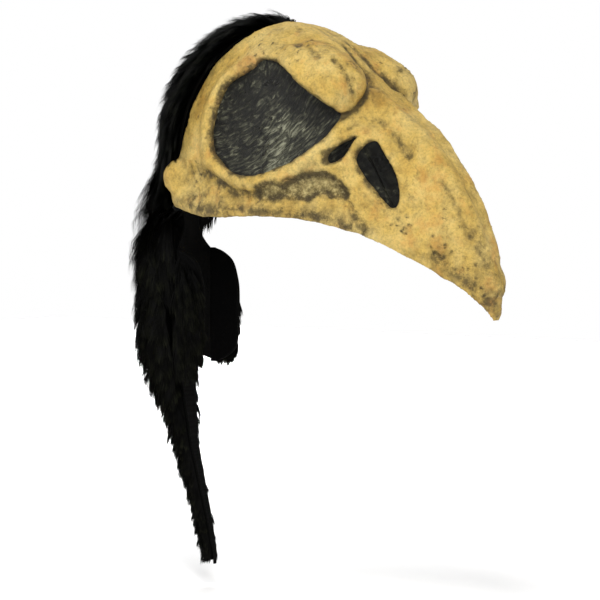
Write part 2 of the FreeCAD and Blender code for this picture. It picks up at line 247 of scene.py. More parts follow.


# Lines on the surface, in millimetres: points, depth, width, soot (in places painted shade).
# Positive depth is a groove, negative depth a ridge.
LINES = [
    # groove between the brow lobes
    ([(0, -66, 175), (0, -78, 167), (0, -92, 155), (0, -106, 140)], 2.2, 11.0, 0.0),
    ([(5, -34, 186), (6, -54, 180)], 1.2, 5.0, 0.1),
    ([(6, -58, 179), (7, -74, 170), (8, -92, 154), (11, -108, 137), (16, -120, 122)],
     3.2, 4.5, 0.72),
    # furrows on the brow lobes
    ([(60, -108, 141), (60, -117, 131), (57, -124, 118), (53, -127, 110)], 2.2, 5.0, 0.5),
    ([(30, -108, 152), (32, -120, 140), (31, -127, 128)], 1.6, 4.5, 0.3),
    ([(62, -70, 152), (55, -62, 160), (46, -52, 170), (30, -48, 178)], 3.0, 5.0, 0.55),
    # ridge over the top of the orbit
    ([(56, -58, 154), (66, -72, 147), (74, -90, 135), (78, -104, 118), (74, -114, 104)],
     -4.2, 6.5, 0.0),
    # shallow valley above that ridge
    ([(44, -44, 172), (53, -60, 164), (60, -78, 156), (66, -94, 146)], 2.0, 6.0, 0.15),
    # ridge behind and above the orbit
    ([(58, -28, 158), (68, -10, 145), (76, 10, 128), (81, 22, 104), (84, 25, 78), (86, 20, 54)],
     -3.6, 7.5, 0.0),
    # cheek bar under the orbit
    ([(86, 16, 50), (88, 0, 38), (90, -18, 30), (90, -38, 28), (86, -58, 31), (80, -76, 42),
      (70, -96, 58)], -3.4, 6.5, 0.0),
    # groove from the knob under the cheek bar
    ([(82, 40, 40), (85, 30, 38), (88, 15, 32), (90, 0, 26), (90, -14, 22), (90, -28, 20)],
     3.2, 9.0, 0.5),
    ([(81, 44, 44), (84, 32, 44), (87, 15, 38), (89, 0, 31), (90, -13, 24), (90, -25, 20),
      (89, -40, 19)], 3.2, 5.0, 1.1),
    # step down from the knob to the lower edge
    ([(76, 52, 16), (84, 34, 18), (87, 20, 22)], 1.6, 5.0, 0.2),
    # lower rim, thickened
    ([(72, 66, 12), (84, 36, 7), (89, 0, 5), (88, -34, 5), (82, -66, 4)], -1.8, 7.0, 0.0),
    # crease from the beak base to the lower edge
    ([(59, -120, 16), (56, -126, 4), (53, -133, -10)], 2.6, 5.0, 0.15),
    # groove beside the nasal band; its soot is partly painted shadow in the groove
    ([(44, -128, 99), (37, -134, 95), (33, -145, 86), (32, -157, 73), (31, -170, 57)],
     4.6, 6.0, 0.36),
    # darkening without relief: grime on the brows, crown and beak tip; painted shade along the
    # lower rim and lower cheek, beside the back edge under the hood, and by the head of the nasal
    # groove
    # painted shade along the underside of the lower rim
    ([(72, 62, 14), (84, 36, 7), (89, 0, 5), (88, -34, 5), (82, -66, 4), (66, -104, -3),
      (54, -134, -14)], 0.0, 10.0, 1.0),
    ([(8, -112, 134), (14, -122, 120), (24, -130, 108)], 0.0, 8.0, 0.6),
    ([(40, -30, 176), (52, -36, 168), (60, -44, 160)], 0.0, 13.0, 0.4),
    # painted shade beside the back edge, where the hood meets the casting
    ([(62, 66, 96), (66, 52, 120), (60, 34, 148), (44, 14, 170), (22, -8, 184)], 0.0, 9.0, 0.12),
    ([(76, 62, 60), (80, 44, 80), (78, 34, 104)], 0.0, 8.0, 0.12),
    ([(34, -200, -36), (24, -218, -52), (14, -236, -68), (6, -244, -80)], 0.0, 11.0, 0.8),
    ([(16, -232, -20), (10, -242, -48), (4, -247, -70)], 0.0, 10.0, 0.6),
    # painted shadow by the head of the nasal groove
    ([(56, -126, 90), (46, -133, 92), (38, -136, 88)], 0.0, 9.0, 0.5),
    # painted shade on the lower cheek, above the lower rim
    ([(88, 8, 20), (89, -30, 14), (84, -62, 12)], 0.0, 7.0, 0.45),
    # small pits
    ([(84, 36, 37), (85, 34, 36)], 2.6, 3.2, 1.0),
    ([(30, -198, -33), (28, -204, -37)], 1.8, 2.6, 0.8),
    ([(40, -116, 142), (38, -119, 138)], 1.8, 4.2, 0.6),
    # nasal band
    ([(17, -132, 112), (17, -150, 97), (16, -166, 81), (15, -180, 66)], -3.8, 6.0, 0.0),
    ([(15, -172, 74), (15, -190, 54), (14, -207, 30), (12, -222, 4), (10, -236, -28),
      (6, -244, -56)], -5.0, 13.0, 0.0),
    # bridge between nostril and fenestra
    ([(53, -128, 78), (55, -124, 64), (58, -122, 48), (58, -126, 30)], -1.6, 5.0, 0.0),
    # grooves towards the beak tip
    ([(22, -200, 30), (20, -208, 19), (18, -218, 0), (16, -228, -20), (11, -239, -44)],
     2.4, 6.0, 0.1),
    ([(3, -214, 24), (3, -226, -2), (4, -236, -26), (5, -243, -48)], 2.0, 5.0, 0.3),
    ([(30, -196, 20), (27, -208, -4), (23, -219, -28), (16, -232, -52)], -1.6, 5.0, 0.0),
    # swelling along the lower edge of the beak
    ([(52, -140, -12), (42, -163, -22), (32, -193, -37), (20, -222, -56), (12, -236, -70)],
     -1.8, 6.0, 0.0),
]
# Sunken, ragged patch below the cheek bar.
RECESS_OUTLINE = [
    (-38, 22), (-44, 28), (-56, 31), (-66, 30), (-78, 36), (-92, 40), (-104, 39), (-112, 33),
    (-121, 21), (-110, 18), (-99, 21), (-86, 15), (-70, 18), (-56, 15), (-44, 17),
]
# The side relief starts at this half width, and openings are cut beyond the next one.
SIDE_FROM = 30.0
CUT_FROM = 22.0
# Clusters of small pits in the side view: y, z, spread and how many.
PITS = [
    (-168, -8, 9, 12), (-200, -32, 10, 9), (-224, -46, 12, 16), (-237, -66, 7, 9),
    (-76, 158, 8, 8), (-24, 146, 12, 10), (30, 26, 12, 9), (-118, 138, 8, 6), (44, 108, 14, 8),
]


def sculpt():
    """Field of the finished casting and how dark each place is painted, for dirt and for shade,
    both on the half grid.
    """
    plain = distance_grid(0.0, 0.0)
    inner = distance_grid(WALL, INNER_DROP)
    brow = ellipsoid_distance((43, -80, 124), (37, 46, 34), 37)
    front_lobe = ellipsoid_distance((46, -104, 122), (26, 21, 19), 0)
    lobe = smooth_min(brow, front_lobe, 16)
    form = smooth_min(plain, lobe, 6)
    # crease where the brow lobes meet the beak; its darkening is partly soot, partly painted shadow
    crease = np.exp(-((lobe - plain) / 4.5) ** 2) * np.clip((-102 - GY) / 12, 0, 1)
    form += 3.0 * crease
    # knob at the rear of the cheek, with a smaller swelling below it
    knob = ellipsoid_distance((71, 66, 37), (13.5, 14, 16), 0)
    knob = smooth_min(knob, ellipsoid_distance((70, 56, 20), (13, 15, 11), 0), 5)
    form = smooth_min(form, knob, 6)
    # soot and painted shadow in the crease
    dirt_and_shade = (0.95 * crease).astype(np.float32)
    for line in LINES:
        carve(form, dirt_and_shade, *line)
    # ragged recess: pushed in within its outline, darker along its border
    border = outline_distance(closed_spline(RECESS_OUTLINE, 4))[None]
    recess = (GX > SIDE_FROM) / (1 + np.exp(np.clip(border / 1.1, -30, 30)))
    form += 3.2 * recess
    ragged_soot = 0.95 * np.exp(-(border / 2.6) ** 2) + 0.18 * recess
    dirt_and_shade = np.maximum(dirt_and_shade, ragged_soot * (GX > SIDE_FROM))
    # orbit: raised rim, then the opening itself
    orbit = outline_distance(closed_spline(ORBIT, 6))[None]
    side = np.clip((GX - SIDE_FROM) / 20, 0, 1)
    form -= 3.0 * side * np.exp(-((orbit - 7.0) / 6.0) ** 2)
    dirt_and_shade = np.maximum(dirt_and_shade, side * 0.9 * np.exp(-(np.maximum(orbit, 0) / 2.4) ** 2))
    openings = [(orbit, 3.5)]
    for outline in (NOSTRIL, FENESTRA):
        hole = outline_distance(closed_spline(outline, 6))[None]
        form -= 1.4 * side * np.exp(-((hole - 4.0) / 3.0) ** 2)
        dirt_and_shade = np.maximum(dirt_and_shade, side * 0.8 * np.exp(-(np.maximum(hole, 0) / 1.8) ** 2))
        openings.append((hole, 1.8))
    # the hollow stays a least wall inside the carved surface, but is open at the base
    open_form = distance_grid(0.0, OPEN_DROP) + form - plain
    inner = np.maximum(inner, open_form + LEAST_WALL)
    field = smooth_max(form, -inner, 1.2)
    # cut off behind the back edge, apart from the knob
    behind = outline_distance(np.array(REAR_EDGE + [(150, 230), (150, -20)]))[None]
    behind = smooth_min(np.maximum(-behind, -40), np.maximum(knob - 1.0, -inner), 2)
    field = smooth_max(field, behind, 2.4)
    for hole, k in openings:
        cut = np.where(GX > CUT_FROM, -hole - 0.6, -40.0).astype(np.float32)
        field = smooth_max(field, cut, k)
    return form, field.astype(np.float32), dirt_and_shade, recess.astype(np.float32)


def mesh_from_field(half):
    """Surface of a half field and its mirror image: points in millimetres, and quads."""
    full = np.ascontiguousarray(np.concatenate([half[:0:-1], half], axis=0))
    grid = openvdb.FloatGrid(BAND * VOXEL)
    grid.transform = openvdb.createLinearTransform(voxelSize=VOXEL)
    low = (int(-(COUNTS[0] - 1)), int(LOW_INDEX[1]), int(LOW_INDEX[2]))
    grid.copyFromArray(full, low)
    points, _, quads = grid.convertToPolygons(0.0, 0.0)
    return points, quads[:, ::-1]


def corners(part):
    """Each corner of a cell, with its weight for places given as parts of the cell."""
    for corner in np.ndindex(2, 2, 2):
        yield corner, np.prod(np.abs(1 - np.array(corner) - part), axis=1)


def sample(half, points):
    """Value of a half grid at points, by straight-line interpolation."""
    places = np.hstack([np.abs(points[:, :1]), points[:, 1:]]) / VOXEL - LOW_INDEX
    places = np.clip(places, 0, COUNTS - 1.001)
    base = places.astype(int)
    out = np.zeros(len(points))
    for corner, weight in corners(places - base):
        out += weight * half[tuple((base + corner).T)]
    return out


def lattice_noise(points, size, seed):
    """Smooth noise between -1 and 1 with lumps of a given size."""
    repeat = 32
    table = np.random.default_rng(seed).uniform(-1, 1, (repeat, repeat, repeat))
    places = points / size + 1000
    base = np.floor(places).astype(int)
    part = places - base
    out = np.zeros(len(points))
    for corner, weight in corners(part * part * (3 - 2 * part)):
        out += weight * table[tuple((base + corner).T % repeat)]
    return out


def shifts(points, size, seed):
    """A smooth random shift for each point, between -1 and 1 in each direction."""
    return np.stack([lattice_noise(points, size, seed + k) for k in range(3)], axis=1)


def new_object(name, points, faces, material):
    """Smooth mesh object from points in millimetres and faces of any size."""
    mesh = bpy.data.meshes.new(name)
    mesh.vertices.add(len(points))
    places = (np.asarray(points, float) * MM).astype(np.float32)
    mesh.vertices.foreach_set("co", places.ravel())
    sides = [len(face) for face in faces]
    mesh.loops.add(sum(sides))
    mesh.loops.foreach_set("vertex_index", np.concatenate(faces).astype(np.int32))
    mesh.polygons.add(len(sides))
    mesh.polygons.foreach_set("loop_start", np.cumsum([0] + sides[:-1]).astype(np.int32))
    mesh.polygons.foreach_set("use_smooth", np.full(len(sides), True))
    mesh.update(calc_edges=True)
    mesh.validate()
    mesh.materials.append(material)
    made = bpy.data.objects.new(name, mesh)
    bpy.context.scene.collection.objects.link(made)
    return made


def paint(made, name, colours):
    """Store one colour per vertex."""
    layer = made.data.color_attributes.new(name, "FLOAT_COLOR", "POINT")
    rgba = np.ones((len(colours), 4), np.float32)
    rgba[:, :3] = colours
    layer.data.foreach_set("color", rgba.ravel())


def roughness_of(points, size, octaves, seed):
    """Natural lumps about -1 to 1, the largest of a given size in millimetres."""
    shift = Vector((seed * 17.3, seed * 9.1, seed * 5.7))
    scale = 1.0 / size
    return np.array([
        noise.fractal(Vector(point) * scale + shift, 0.9, 2.1, octaves) for point in points
    ])


def vertex_normals(made):
    out = np.empty(len(made.data.vertices) * 3, np.float32)
    made.data.vertex_normals.foreach_get("vector", out)
    return out.reshape(-1, 3)


# ---- materials
def shader(name, roughness=0.7):
    """New material, its node tree and its surface node."""
    material = bpy.data.materials.new(name)
    material.use_nodes = True
    tree = material.node_tree
    surface = tree.nodes["Principled BSDF"]
    surface.inputs["Roughness"].default_value = roughness
    return material, tree, surface


def link(tree, source, target):
    tree.links.new(source, target)


def object_place(tree):
    return tree.nodes.new("ShaderNodeTexCoord").outputs["Object"]


def noise_node(tree, scale, detail=4.0, rough=0.55, vector=None, distortion=0.0):
    node = tree.nodes.new("ShaderNodeTexNoise")
    for key, value in (("Scale", scale), ("Detail", detail), ("Roughness", rough),
                       ("Distortion", distortion)):
        node.inputs[key].default_value = value
    link(tree, vector or object_place(tree), node.inputs["Vector"])
    return node.outputs["Fac"]


def ramp(tree, fac, stops):
    """Colour ramp; each stop is a place and a linear colour or a grey level."""
    node = tree.nodes.new("ShaderNodeValToRGB")
    band = node.color_ramp
    while len(band.elements) > 1:
        band.elements.remove(band.elements[-1])
    for k, (place, colour) in enumerate(stops):
        element = band.elements[0] if k == 0 else band.elements.new(place)
        element.position = place
        if not hasattr(colour, "__len__"):
            colour = (colour, colour, colour)
        element.color = (*colour, 1)
    link(tree, fac, node.inputs["Fac"])
    return node.outputs["Color"]


def feed(tree, socket, value):
    """Give a socket another node's output, a colour or a number."""
    if hasattr(value, "is_linked"):
        link(tree, value, socket)
    elif hasattr(value, "__len__"):
        socket.default_value = (*value, 1)
    else:
        socket.default_value = value


def mix(tree, kind, fac, a, b):
    node = tree.nodes.new("ShaderNodeMix")
    node.data_type = "RGBA"
    node.blend_type = kind
    for number, value in ((0, fac), (6, a), (7, b)):
        feed(tree, node.inputs[number], value)
    return node.outputs[2]


def maths(tree, operation, a, b=0.0):
    node = tree.nodes.new("ShaderNodeMath")
    node.operation = operation
    feed(tree, node.inputs[0], a)
    feed(tree, node.inputs[1], b)
    return node.outputs[0]


def bump(tree, surface, heights):
    """Bump from one or more height outputs, each with its own depth in metres."""
    normal = None
    for height, depth in heights:
        node = tree.nodes.new("ShaderNodeBump")
        node.inputs["Strength"].default_value = 1.0
        node.inputs["Distance"].default_value = depth
        link(tree, height, node.inputs["Height"])
        if normal is not None:
            link(tree, normal, node.inputs["Normal"])
        normal = node.outputs["Normal"]
    link(tree, normal, surface.inputs["Normal"])


def channels(tree, layer):
    """The three channels of a painted vertex layer."""
    node = tree.nodes.new("ShaderNodeVertexColor")
    node.layer_name = layer
    split = tree.nodes.new("ShaderNodeSeparateColor")
    link(tree, node.outputs["Color"], split.inputs["Color"])
    return split.outputs


def linear(red, green, blue):
    """Linear colour from values out of 255."""
    out = []
    for value in (red, green, blue):
        v = value / 255
        out.append(v / 12.92 if v <= 0.04045 else ((v + 0.055) / 1.055) ** 2.4)
    return tuple(out)


def make_bone():
    """Aged bone paint on latex: ochre and cream blotches, soot and painted shade in the hollows."""
    material, tree, surface = shader("bone_latex")
    soot_and_shade, stain, pale = channels(tree, "wear_and_shade")
    colour = ramp(tree, noise_node(tree, 20, 5, 0.6), [
        (0.30, linear(190, 150, 66)), (0.46, linear(214, 180, 92)), (0.64, linear(226, 198, 120)),
    ])
    grain = noise_node(tree, 130, 8, 0.74)
    fine = noise_node(tree, 400, 6, 0.74)
    for height, low in ((noise_node(tree, 70, 6, 0.7), 0.72), (fine, 0.66), (grain, 0.78)):
        colour = mix(tree, "MULTIPLY", 0.75, colour, ramp(tree, height, [(0.38, low), (0.53, 1.0)]))
    warm = ramp(tree, noise_node(tree, 44, 5, 0.65), [(0.54, 0.0), (0.70, 0.5)])
    colour = mix(tree, "MIX", warm, colour, linear(204, 142, 62))
    colour = mix(tree, "MIX", maths(tree, "MULTIPLY", stain, 0.75), colour, linear(150, 88, 36))
    rough_patch = ramp(tree, noise_node(tree, 210, 6, 0.75), [
        (0.38, linear(74, 68, 42)), (0.52, linear(150, 136, 88)), (0.66, linear(196, 182, 128)),
    ])
    colour = mix(tree, "MIX", maths(tree, "MULTIPLY", pale, 0.85), colour, rough_patch)
    grime = ramp(tree, noise_node(tree, 105, 8, 0.76), [(0.40, 1.0), (0.60, 0.16)])
    deep = maths(tree, "MULTIPLY", maths(tree, "SUBTRACT", soot_and_shade, 0.68), 1.9)
    edge = ramp(tree, maths(tree, "MAXIMUM", maths(tree, "MULTIPLY", soot_and_shade, grime), deep), [
        (0.03, 0.0), (0.22, 0.34), (0.5, 0.8), (0.8, 0.96),
    ])
    # soot and painted shade: dark brown mixed in where the first channel is high
    colour = mix(tree, "MIX", edge, colour, linear(60, 50, 27))
    specks = ramp(tree, grain, [(0.32, 0.95), (0.40, 0.0)])
    patches = ramp(tree, noise_node(tree, 26, 4, 0.6), [(0.42, 0.25), (0.58, 1.0)])
    colour = mix(tree, "MIX", maths(tree, "MULTIPLY", specks, patches), colour, linear(84, 64, 32))
    link(tree, colour, surface.inputs["Base Color"])
    shine = ramp(tree, noise_node(tree, 60, 4, 0.6), [(0.3, 0.50), (0.7, 0.68)])
    link(tree, shine, surface.inputs["Roughness"])
    surface.inputs["Specular IOR Level"].default_value = 0.35
    bump(tree, surface, [(grain, 0.0032), (fine, 0.0012)])
    return material


def attribute(tree, name):
    node = tree.nodes.new("ShaderNodeAttribute")
    node.attribute_name = name
    return node.outputs


def make_black_latex(name, stroke=True):
    """Black paint with dry-brushed silvery strokes and a painted highlight, or darker and without
    them.
    """
    material, tree, surface = shader(name)
    patches = noise_node(tree, 38, 4, 0.6)
    if stroke:
        strokes = noise_node(tree, 1.0, 7, 0.70, attribute(tree, "stroke")["Vector"], 0.9)
        amount = maths(tree, "MULTIPLY", strokes, maths(tree, "ADD", patches, 0.52))
        # painted highlight: a soft bright spot low in the bowl, in place of its gloss
        painted_highlight = maths(tree, "MULTIPLY", attribute(tree, "painted_highlight")["Fac"], 0.17)
        amount = maths(tree, "ADD", amount, painted_highlight)
    else:
        strokes = noise_node(tree, 150, 6, 0.7)
        amount = maths(tree, "MULTIPLY", strokes, maths(tree, "ADD", patches, 0.40))
    colour = ramp(tree, amount, [
        (0.39, linear(8, 8, 6)), (0.53, linear(25, 25, 19)), (0.64, linear(70, 70, 56)),
        (0.77, linear(140, 140, 118)),
    ])
    link(tree, colour, surface.inputs["Base Color"])
    shine = ramp(tree, patches, [(0.35, 0.26), (0.65, 0.48)])
    link(tree, shine, surface.inputs["Roughness"])
    surface.inputs["Specular IOR Level"].default_value = 0.3 if stroke else 0.12
    bump(tree, surface, [(strokes, 0.0030), (noise_node(tree, 260, 5, 0.7), 0.0008)])
    return material


def make_fur(name):
    """Black pile with a painted olive sheen towards the tips of the hairs."""
    material, tree, surface = shader(name, 0.55)
    along, tone, _ = channels(tree, "hair")
    base = mix(tree, "MIX", tone, linear(1, 1, 1), linear(6, 6, 5))
    # painted sheen: the hairs turn lighter and olive towards their tips, as where light catches
    # them
    tip = ramp(tree, along, [(0.7, 0.0), (1.0, 0.6)])
    tip_sheen = maths(tree, "MULTIPLY", tip, maths(tree, "MULTIPLY", tone, tone))
    colour = mix(tree, "MIX", tip_sheen, base, linear(52, 54, 38))
    link(tree, colour, surface.inputs["Base Color"])
    surface.inputs["Specular IOR Level"].default_value = 0.04
    return material


def make_cloth(name, colour, weave=1400, depth=0.00025, roughness=0.9):
    """Woven cloth: two crossed waves of threads and a faint mottle."""
    material, tree, surface = shader(name, roughness)
    place = object_place(tree)
    waves = []
    for direction in ("Y", "Z"):
        node = tree.nodes.new("ShaderNodeTexWave")
        node.bands_direction = direction
        node.inputs["Scale"].default_value = weave / 6
        node.inputs["Distortion"].default_value = 0.6
        link(tree, place, node.inputs["Vector"])
        waves.append(node.outputs["Fac"])
    threads = maths(tree, "MAXIMUM", waves[0], waves[1])
    dark = tuple(v * 0.62 for v in colour)
    mottle = noise_node(tree, 90, 5, 0.6)
    worn = mix(tree, "MIX", ramp(tree, mottle, [(0.35, 0.0), (0.7, 1.0)]), dark, colour)
    link(tree, mix(tree, "MULTIPLY", 0.35, worn, threads), surface.inputs["Base Color"])
    bump(tree, surface, [(threads, depth), (mottle, 0.0006)])
    surface.inputs["Specular IOR Level"].default_value = 0.06
    return material


def make_foam(name):
    material, tree, surface = shader(name, 0.95)
    cells = tree.nodes.new("ShaderNodeTexVoronoi")
    cells.inputs["Scale"].default_value = 700
    link(tree, object_place(tree), cells.inputs["Vector"])
    colour = ramp(tree, cells.outputs["Distance"], [
        (0.1, linear(28, 28, 28)), (0.6, linear(58, 58, 56)),
    ])
    link(tree, colour, surface.inputs["Base Color"])
    bump(tree, surface, [(cells.outputs["Distance"], 0.0008)])
    return material


def make_smooth(name, colour, roughness, metallic=0.0):
    """Rubber, plastic or metal with a fine grain."""
    material, tree, surface = shader(name, roughness)
    surface.inputs["Metallic"].default_value = metallic
    grain = noise_node(tree, 300, 5, 0.7)
    dark = tuple(v * 0.6 for v in colour)
    link(tree, mix(tree, "MIX", grain, dark, colour), surface.inputs["Base Color"])
    bump(tree, surface, [(grain, 0.0002)])
    return material


BONE = make_bone()
BLACK = make_black_latex("black_latex")
SCREEN = make_black_latex("screen_mesh", stroke=False)
FUR = make_fur("black_fur")
LINING = make_cloth("lining_cloth", linear(12, 12, 11))
FLAP = make_cloth("flap_cloth", linear(5, 5, 5), weave=1700)
BINDING = make_cloth("binding_tape", linear(6, 6, 5), weave=2600, roughness=0.8)
FOAM = make_foam("pad_foam")
ELASTIC = make_cloth("elastic", linear(26, 26, 26), weave=3200, depth=0.0005)
RUBBER = make_smooth("anchor_rubber", linear(30, 30, 28), 0.6)
METAL = make_smooth("rivet_metal", linear(170, 168, 160), 0.32, 1.0)
PLASTIC = make_smooth("slide_plastic", linear(22, 22, 22), 0.38)


# ---- mesh helpers
def thicken(made, thickness, offset=-1.0):
    modifier = made.modifiers.new("thickness", "SOLIDIFY")
    modifier.thickness = thickness * MM
    modifier.offset = offset
    modifier.use_even_offset = False


def grid_faces(rows, columns, closed=False):
    """Quads over a grid of points stored row by row."""
    out = []
    for i in range(rows - 1):
        start, after = i * columns, (i + 1) * columns
        for j in range(columns if closed else columns - 1):
            k = (j + 1) % columns
            out.append((start + j, start + k, after + k, after + j))
    return out


def grid_object(name, grid, material, closed=False, thickness=0.0):
    """Sheet over a grid of points, rows by columns, with a thickness if wanted."""
    rows, columns = grid.shape[:2]
    faces = grid_faces(rows, columns, closed)
    made = new_object(name, grid.reshape(-1, 3), faces, material)
    if thickness:
        thicken(made, thickness)
    return made


# ---- skull casting
SKULL_FORM, SKULL_FIELD, SKULL_DIRT_AND_SHADE, SKULL_RECESS = sculpt()


def hollows(field):
    """How concave the surface is at each cell, from 0 to 1."""
    total = -6 * field
    for axis in range(3):
        total += np.roll(field, 3, axis) + np.roll(field, -3, axis)
    return np.clip(-total * 0.5 - 0.15, 0, 1)


def pit_places():
    """Place and size of each small pit, in the side view."""
    local = np.random.default_rng(5)
    for y, z, spread, count in PITS:
        for _ in range(count):
            dy, dz = local.normal(0, spread * 0.6, 2)
            yield y + dy, z + dz, local.uniform(0.9, 1.9)


def make_skull():
    """The casting, roughened and painted: soot and painted shade, stain and rough patch in one
    layer.
    """
    points, quads = mesh_from_field(SKULL_FIELD)
    wear_and_shade = np.zeros((len(points), 3), np.float32)
    # painted shade: the hollows of the form are darkened as if shade lay in them
    hollow_shade = sample(hollows(SKULL_FORM), points)
    soot_and_shade = sample(SKULL_DIRT_AND_SHADE, points + 2.4 * shifts(points, 6, 30))
    wear_and_shade[:, 0] = np.clip(soot_and_shade * 0.85 + hollow_shade * 0.45, 0, 1)
    # warm stain over the top of each orbit
    for side in (-1, 1):
        gap = points - np.array([69 * side, -19, 138])
        wear_and_shade[:, 1] += np.exp(-(gap ** 2).sum(1) / 15 ** 2)
    wear_and_shade[:, 1] *= 0.55 + 0.45 * lattice_noise(points, 7, 21)
    wear_and_shade[:, 2] = sample(SKULL_RECESS, points)
    made = new_object("skull_casting", points, quads, BONE)
    normals = vertex_normals(made)
    lumps = 0.8 * roughness_of(points, 19, 5, 1)
    lumps += wear_and_shade[:, 2] * roughness_of(points, 5, 4, 4) * 1.6
    ragged = points + 1.4 * shifts(points, 2.6, 40)
    for y, z, size in pit_places():
        gap = np.hypot(ragged[:, 1] - y, ragged[:, 2] - z)
        pit = np.exp(-(gap / size) ** 2) * (np.abs(points[:, 0]) > 8)
        wear_and_shade[:, 0] = np.maximum(wear_and_shade[:, 0], 0.9 * pit)
        lumps -= 0.9 * pit
    cracks = np.clip(0.07 - np.abs(roughness_of(points, 34, 3, 5)), 0, 0.07) / 0.07
    lumps -= 0.6 * cracks
    wear_and_shade[:, 0] = np.clip(wear_and_shade[:, 0] + 0.22 * cracks ** 2, 0, 1)
    moved = (points + normals * lumps[:, None]) * MM
    made.data.vertices.foreach_set("co", moved.astype(np.float32).ravel())
    made.data.update()
    paint(made, "wear_and_shade", wear_and_shade)
    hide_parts("skull_shell")
    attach(made, "mask")


def outer_surface():
    """Half width of the plain form, without its brows, at each (y, z) of the grid."""
    form = distance_grid(0.0, 0.0)
    inside = (form < 0).sum(axis=0)
    last = np.clip(inside - 1, 0, COUNTS[0] - 2)
    yy, zz = np.indices(last.shape)
    a, b = form[last, yy, zz], form[last + 1, yy, zz]
    part = np.where(inside > 0, a / np.minimum(a - b, -1e-6), 0)
    return (last + np.clip(part, 0, 1)) * VOXEL


OUTER_X = outer_surface()


def surface_x(y, z):
    """Half width of the plain form at places in the side view."""
    u = np.clip(np.asarray(y) / VOXEL - LOW_INDEX[1], 0, COUNTS[1] - 1.001)
    v = np.clip(np.asarray(z) / VOXEL - LOW_INDEX[2], 0, COUNTS[2] - 1.001)
    i, j = u.astype(int), v.astype(int)
    p, q = u - i, v - j
    return ((1 - p) * (1 - q) * OUTER_X[i, j] + p * (1 - q) * OUTER_X[i + 1, j]
            + (1 - p) * q * OUTER_X[i, j + 1] + p * q * OUTER_X[i + 1, j + 1])


# middles, in the side view, of the arcs that brush strokes follow and of a painted highlight
STROKE_CENTRE = (40, 175)
HIGHLIGHT_CENTRE = (-54, 63)


def make_inset(name, node, side, outline, growth, rings, depth, material):
    """Black panel behind an opening; depth gives how far it lies under the surface."""
    rim = closed_spline(outline, 10)
    centre = rim.mean(0)
    spokes = rim - centre
    reach = np.linalg.norm(spokes, axis=1)[:, None]
    spokes = spokes * (reach + growth) / reach
    points = []
    for ring in range(1, rings + 1):
        r = ring / rings
        y, z = (centre + spokes * r).T
        angle = np.arctan2(z - centre[1], y - centre[0])
        x = surface_x(y, z) - depth(r, angle, y, z)
        points.append(np.stack([x * side, y, z], axis=1))
    count = len(rim)
    x = surface_x(*centre) - depth(0.0, 0.0, *centre)
    points.append(np.array([[x * side, *centre]]))
    faces = grid_faces(rings, count, closed=True)
    apex = rings * count
    faces += [(apex, (k + 1) % count, k) for k in range(count)]
    if side > 0:
        faces = [face[::-1] for face in faces]
    points = np.vstack(points)
    made = new_object(name, points, faces, material)
    across, up = (points[:, 1:] - STROKE_CENTRE).T
    strokes = np.stack([np.hypot(across, up) / 3.3, np.arctan2(up, across) * 12, 0 * up], axis=1)
    layer = made.data.attributes.new("stroke", "FLOAT_VECTOR", "POINT")
    layer.data.foreach_set("vector", strokes.astype(np.float32).ravel())
    # painted highlight: a soft spot low in the bowl
    highlight_weight = np.exp(-((points[:, 1:] - HIGHLIGHT_CENTRE) ** 2).sum(1) / 24 ** 2)
    made.data.attributes.new("painted_highlight", "FLOAT", "POINT").data.foreach_set("value", highlight_weight)
    thicken(made, 1.4)
    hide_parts(node)
    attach(made, "mask")


def bowl_depth(r, angle, y, z):
    """Eye socket: a concave bowl with a bead near its rim and a crease at its foot."""
    bead = 1.1 * np.exp(-((r - 0.90) / 0.022) ** 2) * (0.5 - 0.5 * np.sin(angle + 0.5))
    crease = 1.6 * np.exp(-((y + 40 - 0.2 * (z - 45)) / 1.8) ** 2) * np.clip((70 - z) / 30, 0, 1)
    waves = 0.5 * np.sin(9 * r + 2 * angle) + 0.35 * np.sin(21 * r - 3 * angle)
    return 3.0 + 10.0 * (1 - r ** 2.4) - bead + crease + waves * (1 - r)


def ridge_depth(line, rise):
    """Small opening: a panel with a ridge along a line in the side view."""
    (y0, z0), (y1, z1) = line
    length = math.hypot(y1 - y0, z1 - z0)

    def depth(r, angle, y, z):
        across = ((y - y0) * (z1 - z0) - (z - z0) * (y1 - y0)) / length
        return 3.2 + 4.0 * (1 - r ** 2) - rise * np.exp(-(across / 1.8) ** 2) * (1 - r ** 4)

    return depth


def make_insets():
    for side, hand in ((1, "left"), (-1, "right")):
        make_inset(f"{hand}_socket_bowl", f"{hand}_eye_socket", side, ORBIT, 3.0, 60,
                   bowl_depth, BLACK)
        make_inset(f"{hand}_nostril_panel", f"{hand}_nostril_screen", side, NOSTRIL, 2.2, 24,
                   ridge_depth(((-136, 58), (-158, 16)), 3.2), SCREEN)
        make_inset(f"{hand}_fenestra_panel", f"{hand}_fenestra_screen", side, FENESTRA, 1.8, 20,
                   ridge_depth(((-121, 66), (-106, 52)), 2.2), SCREEN)


# ---- fur
HOOD_HAIRS = 70000
MANE_HAIRS = 54000
FLAP_HAIRS = 14000
HOOD_DOME_Z = 76.0
HOOD_WIDTH_RATIO = 0.8
HOOD_SKIN = 109.5
LINING_SKIN = 107.2
REAR_Y_Z = np.array(REAR_EDGE, float)


def rear_edge_y(z):
    """How far back the edge of the casting is at a height."""
    return np.interp(z, REAR_Y_Z[:, 1], REAR_Y_Z[:, 0])


def hood_low_z(y):
    return np.interp(y, [79, 90, 112], [12, 8, 4])


